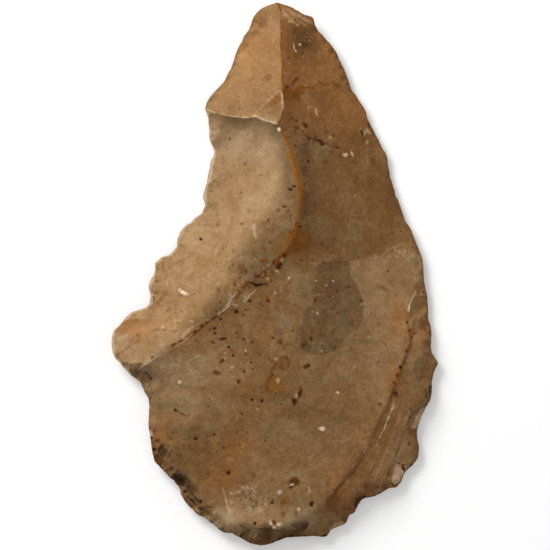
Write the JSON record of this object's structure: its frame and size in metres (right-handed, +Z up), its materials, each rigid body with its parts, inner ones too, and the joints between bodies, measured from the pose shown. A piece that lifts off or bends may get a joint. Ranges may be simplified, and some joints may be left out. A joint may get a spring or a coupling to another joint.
{
  "type": "levallois side scraper",
  "caption": "Large pointed Levallois flake of brown patinated flint, worked as a side scraper: a long bent ridge, a deep hollow scar on the left and a thick chipped butt.",
  "frame": {"origin": "the point on the ground below the middle of the flake's outline, which lies on the flat middle of its lower face", "axes": "+Y from the butt to the tip, +X to the right when seen from above, +Z up out of the scarred upper face"},
  "size_m": [0.0722, 0.12, 0.016],
  "materials": {
    "flint": "satin"
  },
  "bodies": {
    "root": {"flint_flake": "flint"}
  },
  "joints": []
}
